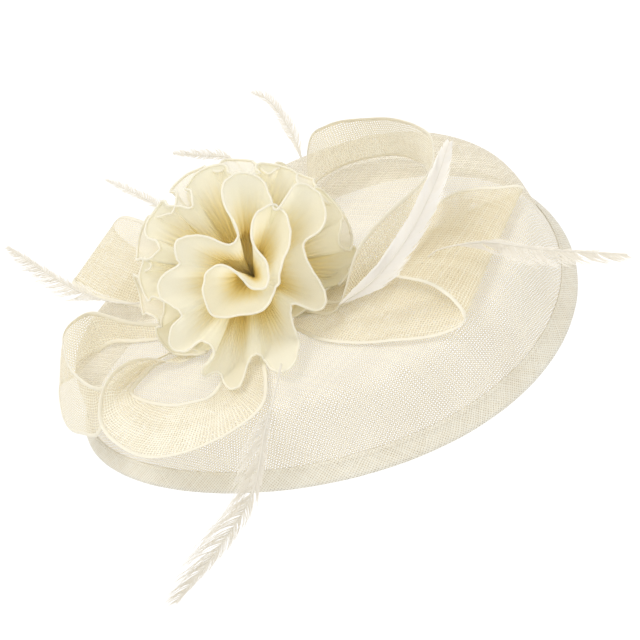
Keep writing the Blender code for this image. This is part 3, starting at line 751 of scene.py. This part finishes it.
def ribbon_grid(stations, seed):
    """Rows of points across the ribbon, and its middle line's run in mm."""
    columns = (len(stations) - 1) * POINTS_PER_STATION + 1
    lower = smooth_points([placed(low) for low, _ in stations], columns)
    upper = smooth_points([placed(high) for _, high in stations], columns)
    middle = [low.lerp(high, 0.5) for low, high in zip(lower, upper)]
    run = [reach / MM for reach in run_along(middle)]
    grid = []
    for i, (low, high, along) in enumerate(zip(lower, upper, tangents_along(middle))):
        face = along.cross((high - low).normalized()).normalized()
        ends = min(1.0, min(i, columns - 1 - i) / (2.0 * POINTS_PER_STATION))
        points = []
        for row in range(RIBBON_ROWS + 1):
            v = row / RIBBON_ROWS
            bow = RIBBON_BOW * sin(pi * v)
            ripple = wobble((run[i] * 0.045, v * 1.3, 0), seed) * RIBBON_RIPPLE
            points.append(low.lerp(high, v) + face * (bow + ripple) * ends)
        grid.append(points)
    return grid, run


def make_loop(name, stations, seed, looks):
    """A ribbon loop's open weave, and the rolled hems along its two edges."""
    grid, run = ribbon_grid(stations, seed)
    marks = []
    for points, reach in zip(grid, run):
        across = run_along(points)
        middle = across[RIBBON_ROWS // 2]
        marks.append([(reach, (w - middle) / MM) for w in across])
    bm = bmesh.new()
    grid_mesh(bm, grid, marks)
    ribbon = hat_piece(name + "_weave", bm, [looks["ribbon"]], name)

    bm = bmesh.new()
    for edge, inward in ((0, 1), (RIBBON_ROWS, RIBBON_ROWS - 1)):
        sideways = [(points[inward] - points[edge]).normalized() for points in grid]
        path = [points[edge] + side * HEM_HALF_WIDTH * HEM_INSET
                for points, side in zip(grid, sideways)]
        tube(bm, path, [HEM_HALF_WIDTH] * len(path), sides=8,
             flat=(sideways, HEM_HALF_THICKNESS / HEM_HALF_WIDTH))
    return ribbon, hat_piece(name + "_hems", bm, [looks["ribbon_hem"]])


# ---------------- flower

# The two front ruffles have a drawn hem: knots as (turn in degrees, distance from the eye's
# axis in mm), carried on a dome of (height, width) in mm, over a root that lies deeper and
# closer in. The others have lobes of about one size: how far the hem's folds and lobes lean
# from the eye in degrees, the hem's share of the flower's radius, and the root's lean and its
# share of that radius.
DRAWN_RUFFLES = {
    "ruffle_center": dict(dome=(55, 60), depth=19, root=0.40, hem=[
        (-36, 7.7), (-76, 12.3), (-117, 17), (-140, 25), (-163, 25), (-185, 23), (-201, 18),
        (-203, 12), (-188, 6), (-100, 3), (-14, 4), (60, 7.5), (95, 14.5), (96, 22),
        (89, 29.5), (77, 34), (66, 33), (54, 26), (43, 18.5), (28, 10.5), (-12, 8.5)]),
    "ruffle_inner": dict(dome=(50, 84), depth=22, root=0.42, hem=[
        (37, 26.5), (12, 25), (-8, 31), (-20, 34), (-28, 30), (-31, 20), (-41, 19.5), (-52, 27),
        (-55.5, 34), (-62, 40), (-68, 44), (-77, 43.5), (-82, 39), (-86, 35), (-91, 33.5),
        (-96, 38), (-97, 45), (-98.5, 50), (-103, 51.5), (-107, 49.5), (-111, 46),
        (-115, 47), (-118, 51), (-121, 47), (-119, 40), (-125, 36),
        (-133, 38), (-134, 46), (-140, 50), (-149, 46), (-154, 37),
        (-162, 40), (-170, 45), (-181, 43), (-190, 35), (-196, 38), (-205, 40), (-213, 35),
        (-221, 28), (-229, 19.5), (-246, 19.5), (-249, 27), (-247, 36), (-251, 45), (-261, 49),
        (-273, 46), (-279, 40), (-286, 32), (-291, 38), (-295, 48), (-306, 50), (-318, 45),
        (-324, 37)]),
}
RUFFLES = {
    "ruffle_middle": dict(lean=(61, 83), share=0.97, root=(40, 0.34), lobes=10),
    "ruffle_outer": dict(lean=(66, 108), share=1.0, root=(72, 0.36), lobes=11),
    "ruffle_back": dict(lean=(100, 146), share=0.97, root=(168, 0.20), lobes=9),
}
RUFFLE_ROWS = 18
FACE_TILT = 0.22
POINTS_PER_KNOT = 7
HEM_EASE = 2
ROOT_EASE = 9
# A drawn petal's flutter and crease, and how far its edge rolls out and down, in mm.
DRAWN_FLUTTER = 1.6
DRAWN_CREASE = 0.9
ROLL_START = 0.75
ROLL_OUT = 1.2
ROLL_DOWN = 0.8
# The same for a lobe, and how far it bulges, as a share of the radius: along the axis if it
# leans less than LEAN_OUT degrees from it, and else outwards.
LOBE_FLUTTER = 2.0 * MM
LOBE_CREASE = 1.0 * MM
LOBE_BULGE = 0.09
LEAN_OUT = 75
# Petals that would sink below the flower's flat underside are lifted to it, in small steps
# so that none coincide, and drawn ones slide outwards by as much as they would sink.
UNDERSIDE_CLEAR = 0.6 * MM
PETAL_SLIDE = Vector((1.37, -1.06, 0.0)) * 0.9
SUNK_STEP = 0.04


def flower_frame():
    """Turn and place that carry +Z to the flower's eye direction."""
    eye = Vector((
        cos(EYE_ELEVATION) * cos(EYE_DIRECTION),
        cos(EYE_ELEVATION) * sin(EYE_DIRECTION),
        sin(EYE_ELEVATION)))
    level = UP.cross(eye).normalized()
    raised = eye.cross(level)
    turn = Matrix((level, raised, eye)).transposed().to_4x4()
    return Matrix.Translation(FLOWER_CENTRE) @ turn @ Matrix.Rotation(PETAL_ROLL, 4, "Z")


def eased_round(curve, reach):
    """A closed curve with each point averaged with its neighbours."""
    count = len(curve)
    result = []
    for i in range(count):
        near = [curve[(i + k) % count] for k in range(-reach, reach + 1)]
        result.append(sum(near, Vector()) / len(near))
    return result


def drawn_grid(shape, seed):
    """Rows from root to hem at each point of a drawn hem."""
    height, width = shape["dome"]
    knots = []
    for turn, reach in shape["hem"]:
        turn = radians(turn)
        knots.append((reach * cos(turn), reach * sin(turn), 0.0))
    curve = smooth_points(knots, len(knots) * POINTS_PER_KNOT, closed=True)
    curve = eased_round(curve, HEM_EASE)
    grid = []
    for i, (mark, eased) in enumerate(zip(curve, eased_round(curve, ROOT_EASE))):
        dome = sqrt(max(0.05, 1.0 - (mark.length / width) ** 2))
        top = height * dome - mark.y * FACE_TILT
        flutter = wobble((i * 0.09, 0, 0), seed) * DRAWN_FLUTTER
        gathers = 1.0 + 0.06 * sin(i * 1.7)
        root = Vector((eased.x, eased.y, 0)) * shape["root"] * gathers
        root.z = top * 0.6 + 0.4 * height - shape["depth"]
        hem = Vector((mark.x, mark.y, top + flutter))
        floor = Vector((0, 0, height - shape["depth"] - 4.0 + 1.5 * sin(i * 2.3)))
        points = [floor * MM, root.lerp(floor, 0.55) * MM]
        for row in range(len(points), RUFFLE_ROWS + 1):
            v = (row - 2) / (RUFFLE_ROWS - 2)
            point = root.lerp(hem, v ** 1.35)
            point.z = root.z + (hem.z - root.z) * v
            roll = max(0.0, (v - ROLL_START) / (1.0 - ROLL_START)) ** 2
            crease = wobble((i * 0.30, v * 1.2, 0), seed + 5) * DRAWN_CREASE * v
            point += mark.normalized() * (roll * ROLL_OUT + crease)
            point.z -= roll * ROLL_DOWN
            points.append(point * MM)
        grid.append(points)
    return grid


def spread_lobes(count, lean, maker):
    """Lobes at uneven steps round the flower."""
    low, high = lean
    result = []
    start = maker.uniform(0, 360)
    for k in range(count):
        turn = start + 360.0 * (k + maker.uniform(-0.25, 0.25)) / count
        result.append((turn, high - (high - low) * maker.uniform(0.0, 0.3)))
    return result


def hem_knots(lobes, lean, maker):
    """Knots of one hem as (turn, lean) in degrees: round lobes with rounded folds between."""
    low, _ = lean
    knots = []
    for k, (turn, reach) in enumerate(lobes):
        after = lobes[(k + 1) % len(lobes)][0] + (360 if k == len(lobes) - 1 else 0)
        before = lobes[k - 1][0] - (360 if k == 0 else 0)
        left, right = (turn - before) / 2, (after - turn) / 2
        rise = reach - low
        fold = maker.uniform(0.0, 0.35)
        knots += [
            (turn - left * 0.66, low + rise * 0.58),
            (turn - left * 0.58, low + rise * maker.uniform(0.82, 0.95)),
            (turn + right * 0.10, low + rise * maker.uniform(0.97, 1.04)),
            (turn + right * 0.62, low + rise * maker.uniform(0.75, 0.9)),
            (turn + right * 0.58, low + rise * 0.42),
            (turn + right * (0.92 + maker.uniform(-0.12, 0.12)), low + rise * fold)]
    return knots


def on_sphere(turn, lean, radius):
    """A point at a turn and a lean in degrees from the flower's axis."""
    turn, lean = radians(turn), radians(lean)
    return Vector((sin(lean) * cos(turn), sin(lean) * sin(turn), cos(lean))) * radius


def ruffle_grid(shape, seed):
    """Rows from root to hem of a ruffle with even lobes."""
    maker = random.Random(seed)
    low, high = shape["lean"]
    root_lean, root_share = shape["root"]
    radius = FLOWER_RADIUS * shape["share"]
    lobes = spread_lobes(shape["lobes"], shape["lean"], maker)
    knots = hem_knots(lobes, shape["lean"], maker)
    start, first_lean = knots[0]
    around = [(turn, lean, 0) for turn, lean in knots] + [(start + 360, first_lean, 0)]
    curve = smooth_points(around, len(knots) * POINTS_PER_KNOT + 1)[:-1]
    grid = []
    for i, (turn, lean, _) in enumerate(curve):
        out = (lean - low) / (high - low)
        flutter = wobble((i * 0.11, 0, 0), seed) * LOBE_FLUTTER
        hem = on_sphere(turn, lean, radius * (0.88 + 0.12 * out) + flutter)
        gathers = 1.0 + 0.10 * sin(i * 1.9)
        root = on_sphere(start + 360.0 * i / len(curve), root_lean, radius * root_share * gathers)
        points = []
        for row in range(RUFFLE_ROWS + 1):
            v = row / RUFFLE_ROWS
            point = root.lerp(hem, v)
            bulge = sin(pi * v) * (1.0 - 0.3 * v) * LOBE_BULGE * radius * out
            point += (UP if lean < LEAN_OUT else point.normalized()) * bulge
            crease = wobble((i * 0.35, v * 1.1, 0), seed + 5) * LOBE_CREASE * v
            point += point.normalized().cross(UP) * crease
            points.append(point)
        grid.append(points)
    return grid


def keep_above(point, slide):
    """A petal's point, lifted and slid if it would sink below the flower's underside."""
    floor = FLOWER_FLOOR + UNDERSIDE_CLEAR
    drop = floor - point.z
    if drop > 0.0:
        point += slide * drop
        point.z = floor - drop * SUNK_STEP
    return point


def make_ruffle(name, seed, looks):
    """One ring of petals, and the rolled hem round its outer edge."""
    if name in DRAWN_RUFFLES:
        grid, slide = drawn_grid(DRAWN_RUFFLES[name], seed), PETAL_SLIDE
    else:
        grid, slide = ruffle_grid(RUFFLES[name], seed), Vector()
    turned = flower_frame()
    grid = [[keep_above(turned @ point, slide) for point in row] for row in grid]
    hem = [points[-1] for points in grid]
    marks = [[(reach / MM, row / RUFFLE_ROWS) for row in range(RUFFLE_ROWS + 1)]
             for reach in run_along(hem + hem[:1])]
    petal = "petal_outer" if name in ("ruffle_outer", "ruffle_back") else "petal"
    bm = bmesh.new()
    grid_mesh(bm, grid, marks, closed=True)
    cloth = hat_piece(name + "_cloth", bm, [looks[petal]], name)

    bm = bmesh.new()
    tube(bm, hem, [HEM_TUBE_RADIUS] * len(hem), sides=6, closed=True)
    return cloth, hat_piece(name + "_hem", bm, [looks["petal_hem"]])


# ---------------- feathers

# Each feather: points along its quill in mm, half width of its vane in mm, share of the
# quill that is bare, the direction that its flat side faces, how many barbs stand on each
# side, how far they lean to the tip in degrees, how wide one is in mm, how much they part
# into clumps, and how much longer one side's are. The quills follow the CAD part's, but
# feather_1 to 4 and 6 start a point earlier, inside the flower or a loop, and feather_7
# starts later, beyond a petal.
FEATHERS = {
    "feather_1": dict(
        quill=[(-33, -55, 62), (-50, -64, 62.5), (-77, -66, 66), (-115, -58, 69),
               (-180, -37, 70)],
        half_width=7.0, bare=0.25, facing=(0.5, -0.4, 0.75),
        barbs=180, lean=30, width=0.55, parting=0.7, bias=-0.4),
    "feather_2": dict(
        quill=[(-35, -16, 65), (-54, -10, 70), (-76, -3, 78), (-101, 4, 81), (-136, 14, 82)],
        half_width=4.0, bare=0.3, facing=(0.5, -0.4, 0.75),
        barbs=110, lean=32, width=0.5, parting=0.6, bias=0.2),
    "feather_3": dict(
        quill=[(4, -4, 90), (-18, 11, 100), (-47, 16, 99), (-75, 20, 97)],
        half_width=4.0, bare=0.35, facing=(0.4, -0.6, 0.7),
        barbs=90, lean=32, width=0.5, parting=0.6, bias=0.2),
    "feather_4": dict(
        quill=[(3, 10, 60), (1, 32, 74), (-5, 42, 86), (-22, 56, 93), (-47, 73, 96),
               (-66, 80, 97)],
        half_width=5.0, bare=0.32, facing=(0.6, -0.5, 0.6),
        barbs=120, lean=32, width=0.5, parting=0.6, bias=0.2),
    "feather_5": dict(
        quill=[(70, -38, 53.5), (91, -30, 64), (104, -12, 76), (114, 6, 92), (110, 30, 100)],
        half_width=8.0, bare=0.02, facing=(0.7, -0.6, 0.4),
        barbs=170, lean=30, width=1.2, parting=0.05, bias=0.0),
    "feather_6": dict(
        quill=[(86, 6, 46), (98, 10, 52.5), (125, 13, 56), (160, 8, 58), (206, 8, 58.5)],
        half_width=7.0, bare=0.2, facing=(0.3, -0.3, 0.9),
        barbs=160, lean=28, width=0.6, parting=0.7, bias=0.55),
    "feather_7": dict(
        quill=[(66, -81, 51.5), (72, -89, 53), (89, -112, 57), (100, -130, 58), (114, -159, 52),
               (109, -181, 42), (92, -204, 26)],
        half_width=10.0, bare=0.3, facing=(0.8, -0.5, 0.3),
        barbs=200, lean=28, width=0.42, parting=0.7, bias=0.45),
}
QUILL_SAMPLES = 200
QUILL_POINTS = 60
QUILL_RADIUS = 0.55 * MM
QUILL_TAPER = 0.85
BARB_POINTS = 7
BARB_TAPER = 0.9
BARB_RUN = 1.5
VANE_SPREAD = 1.25
CLUMP_CHANCE = 0.22
CLUMP_TURN = 14


def vane_shape(place, bare):
    """Share of the full half width at a place along the quill."""
    if place < bare:
        return 0.0
    along = (place - bare) / (1.0 - bare)
    return min(1.0, (along * 6.0) ** 0.7) * (1.0 - along ** 3.0) ** 0.6 * 0.9 + 0.1


def barb_spine(start, along, sideways, face, reach, angle, clump):
    """Points of one barb, which bends to the feather's tip and droops."""
    spine = []
    for j in range(BARB_POINTS):
        t = j / (BARB_POINTS - 1)
        bend = angle * (1.35 - 0.7 * t)
        step = sideways * sin(bend) + along * cos(bend)
        lift = face * (-0.16 * t * t + 0.10 * clump * t) * reach
        spine.append(start + step * reach * t * BARB_RUN + lift)
    return spine


def add_barb(bm, uv, spine, face, width, number):
    """A tapering strip along a barb's spine, with the barb's number and its run as UV."""
    last = len(spine) - 1
    rows = []
    for j, spot in enumerate(spine):
        ahead = (spine[min(j + 1, last)] - spine[max(j - 1, 0)]).normalized()
        across = ahead.cross(face).normalized() * width * (1.0 - BARB_TAPER * j / last) / 2
        rows.append((bm.verts.new(spot - across), bm.verts.new(spot + across)))
    for j in range(last):
        quad = bm.faces.new((rows[j][0], rows[j][1], rows[j + 1][1], rows[j + 1][0]))
        low, high = j / last, (j + 1) / last
        for loop, t in zip(quad.loops, (low, low, high, high)):
            loop[uv].uv = (number + 0.5, t)


def make_feather(name, shape, seed, looks):
    """A quill with barbs on both sides, each a little different, and parted into clumps."""
    maker = random.Random(seed)
    rough = smooth_points([Vector(p) * MM for p in shape["quill"]], QUILL_SAMPLES)
    quill = evened(rough, QUILL_POINTS)
    tangents = tangents_along(quill)
    facing = Vector(shape["facing"]).normalized()
    bare, count, parting = shape["bare"], shape["barbs"], shape["parting"]
    last = QUILL_POINTS - 1
    bm = bmesh.new()
    radii = [QUILL_RADIUS * (1.0 - QUILL_TAPER * k / last) for k in range(QUILL_POINTS)]
    tube(bm, quill, radii, sides=6, slot=1)
    uv = bm.loops.layers.uv.new("UVMap")
    for side in (1.0, -1.0):
        clump = 0.0
        full = shape["half_width"] * MM * VANE_SPREAD * (1.0 + shape["bias"] * side)
        for k in range(count):
            place = bare + (1.0 - bare) * (k + maker.uniform(0.1, 0.9)) / count
            if maker.random() < CLUMP_CHANCE:
                clump = maker.uniform(-1.0, 1.0) * parting
            reach = full * vane_shape(place, bare) * maker.uniform(0.8, 1.1)
            stray = maker.uniform(-8, 8) * parting
            width = shape["width"] * MM * maker.uniform(0.8, 1.15)
            angle = radians(shape["lean"] + CLUMP_TURN * clump + stray)
            spot = min(int(place * last), last - 1)
            start = quill[spot].lerp(quill[spot + 1], place * last - spot)
            along = tangents[spot]
            face = (facing - along * facing.dot(along)).normalized()
            sideways = along.cross(face).normalized() * side
            spine = barb_spine(start, along, sideways, face, reach, angle, clump)
            add_barb(bm, uv, spine, face, width, k)
    barbs = looks["barb_pale" if name == "feather_5" else "barb"]
    return hat_piece(name + "_plume", bm, [barbs, looks["quill"]], name)


# ---------------- felt and clip

def soft_profile(half, edge, lip):
    """(share in from the side, height) over the top, round the side and back underneath."""
    top = [(1.0, half), (0.5, half), (edge, half), (lip, half * 0.6)]
    return top + [(0.0, 0.0)] + [(inward, -h) for inward, h in reversed(top)]


def make_felt(name, node, looks, steps, edge, lip, fuzz):
    """Felt with soft edges that fills a CAD node's box: a disc, or an oval if it is longer."""
    low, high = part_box(node)
    centre = (low + high) / 2
    radius = (high.y - low.y) / 2
    straight = (high.x - low.x) / 2 - radius
    grid = []
    for step in range(steps):
        turn = tau * step / steps
        side = cos(turn)
        shift = copysign(straight, side) if abs(side) > 1e-6 else 0.0
        spot = (side * 6, sin(turn) * 6, 0)
        reach = radius * (1.0 - fuzz * abs(wobble(spot, 2.0)))
        row = []
        for inward, h in soft_profile((high.z - low.z) / 2, edge, lip):
            r = reach * (1.0 - inward)
            row.append(centre + Vector((shift + r * side, r * sin(turn), h)))
        grid.append(row)
    bm = bmesh.new()
    grid_mesh(bm, grid, closed=True)
    weld(bm)
    return hat_piece(name, bm, [looks["felt"]], node)


def dress_cad_nodes(looks):
    """Better materials on the CAD nodes that stay in view."""
    for name, node in frame["nodes"].items():
        kind = None
        if name.startswith("clip") or name == "brim_wire":
            kind = "steel"
        elif name.startswith("pad_stitch"):
            kind = "thread"
        for slot in node.material_slots if kind else ():
            slot.material = looks[kind]


# ---------------- light, floor and camera

def add_camera():
    ahead = Vector((-cos(CAMERA_ELEVATION) * sin(CAMERA_AZIMUTH),
                    cos(CAMERA_ELEVATION) * cos(CAMERA_AZIMUTH),
                    -sin(CAMERA_ELEVATION)))
    level = ahead.cross(UP).normalized()
    upright = level.cross(ahead)
    side = level * cos(CAMERA_ROLL) - upright * sin(CAMERA_ROLL)
    up = level * sin(CAMERA_ROLL) + upright * cos(CAMERA_ROLL)
    camera = bpy.data.objects.new("camera", bpy.data.cameras.new("camera"))
    camera.data.lens = CAMERA_LENS
    camera.data.sensor_width = CAMERA_SENSOR
    camera.data.shift_x, camera.data.shift_y = CAMERA_SHIFT
    turn = Matrix((side, up, -ahead)).transposed().to_4x4()
    camera.matrix_world = Matrix.Translation(-ahead * CAMERA_DISTANCE) @ turn
    bpy.context.scene.collection.objects.link(camera)
    bpy.context.scene.camera = camera


def add_sun(name, source, spread, power):
    """A soft lamp far away in the direction of source."""
    data = bpy.data.lights.new(name, "SUN")
    data.energy = power
    data.angle = radians(spread)
    lamp = bpy.data.objects.new(name, data)
    lamp.rotation_euler = (-Vector(source)).to_track_quat("-Z", "Y").to_euler()
    bpy.context.scene.collection.objects.link(lamp)


def add_studio(looks):
    world = bpy.data.worlds.new("studio")
    world.use_nodes = True
    background = world.node_tree.nodes["Background"]
    background.inputs["Color"].default_value = (1.0, 1.0, 1.0, 1.0)
    background.inputs["Strength"].default_value = WORLD_POWER
    bpy.context.scene.world = world
    bpy.context.scene.view_settings.view_transform = "Standard"
    for name, (source, spread, power) in LAMPS.items():
        add_sun(name, source, spread, power)
    bm = bmesh.new()
    bmesh.ops.create_grid(bm, x_segments=8, y_segments=8, size=FLOOR_SIZE)
    floor = finish_mesh("floor", bm, [looks["floor"]])
    floor.location.z = CAD_BOX[0][2] - FLOOR_DROP


# ---------------- everything together

def build_all():
    looks = make_materials()
    add_camera()
    add_studio(looks)
    base = make_base(looks)
    tape = make_binding(looks)
    stitches = make_binding_stitches(looks)
    for seed, (name, stations) in enumerate(LOOPS.items(), LOOP_SEED):
        ribbon, hems = make_loop(name, stations, seed, looks)
    for seed, name in enumerate([*DRAWN_RUFFLES, *RUFFLES], RUFFLE_SEED):
        cloth, hem = make_ruffle(name, seed, looks)
    disc = make_felt("felt_disc", "flower_backing", looks,
                     steps=72, edge=0.07, lip=0.015, fuzz=0.008)
    for seed, (name, shape) in enumerate(FEATHERS.items(), FEATHER_SEED):
        make_feather(name, shape, seed, looks)
    pad = make_felt("felt_oval", "felt_pad", looks,
                    steps=96, edge=0.08, lip=0.02, fuzz=0.0)
    dress_cad_nodes(looks)


def corners(box):
    return [list(map(float, corner)) for corner in box]


build_all()
